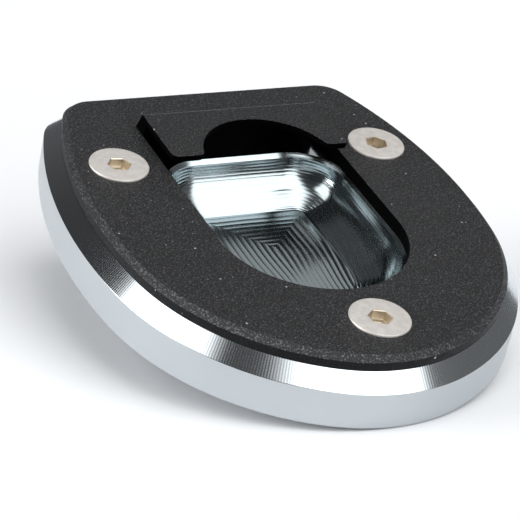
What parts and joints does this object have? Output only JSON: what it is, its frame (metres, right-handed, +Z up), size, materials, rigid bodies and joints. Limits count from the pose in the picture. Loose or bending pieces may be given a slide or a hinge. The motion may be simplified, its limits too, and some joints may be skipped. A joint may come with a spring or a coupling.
{
  "type": "kickstand foot enlarger",
  "caption": "Wide metal foot for a motorcycle side stand: a bevelled base with a foot pocket, and a black top plate with an opening and a raised hood, held by countersunk screws.",
  "frame": {"origin": "middle of the flat underside, at the centre of the bounding box's bottom face", "axes": "+X to the right, +Y towards the straight back edge and the hood, +Z up"},
  "size_m": [0.0872, 0.1006, 0.018],
  "materials": {
    "base_metal": "fine-milled, clear anodised, satin",
    "plate_metal": "blasted, black anodised, matt",
    "screw_steel": "plain stainless, satin"
  },
  "bodies": {
    "root": {"base": "base_metal", "top_plate": "plate_metal", "plate_screws": "screw_steel"}
  },
  "joints": []
}
